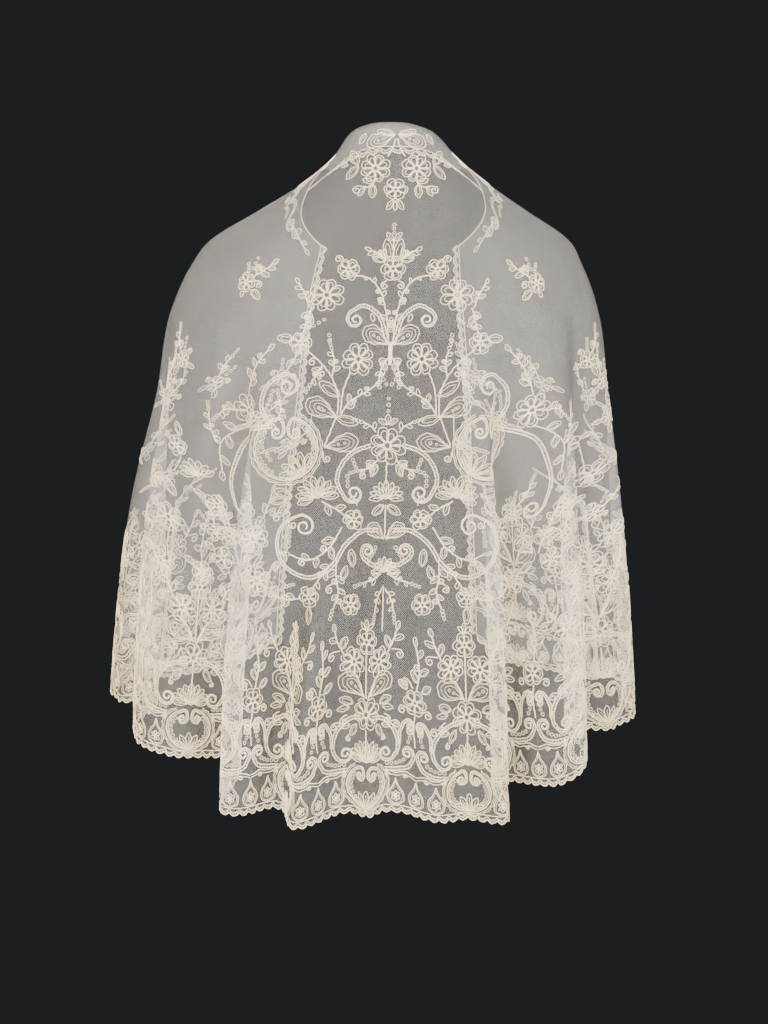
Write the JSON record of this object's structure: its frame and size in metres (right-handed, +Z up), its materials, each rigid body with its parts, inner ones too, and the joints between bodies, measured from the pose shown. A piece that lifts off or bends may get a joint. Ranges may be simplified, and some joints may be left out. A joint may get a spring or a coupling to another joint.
{
  "type": "lace shawl",
  "caption": "Cream corded-lace shawl on sheer tulle, worn round the shoulders: open front, soft folds over the arms, edge turned over at the nape, scalloped hem.",
  "frame": {"origin": "middle of the wearer's neck base, level with the tops of the shoulders", "axes": "+Z up, +Y the way the wearer faces, +X the wearer's right"},
  "size_m": [0.5842, 0.3086, 0.7415],
  "materials": {
    "tulle": "sheer net with corded embroidery",
    "corded_edge": "corded scallops"
  },
  "bodies": {
    "root": {"net_back": "tulle", "scallops_hem_back": "corded_edge", "net_arm_left": "tulle", "scallops_hem_arm_left": "corded_edge", "net_arm_right": "tulle", "scallops_hem_arm_right": "corded_edge", "net_front_left": "tulle", "scallops_hem_front_left": "corded_edge", "net_front_right": "tulle", "scallops_hem_front_right": "corded_edge", "scallops_front_left": "corded_edge", "scallops_front_right": "corded_edge", "scallops_neck_left": "corded_edge", "scallops_neck_right": "corded_edge", "nape_turnover": "tulle", "scallops_turnover": "corded_edge"}
  },
  "joints": []
}
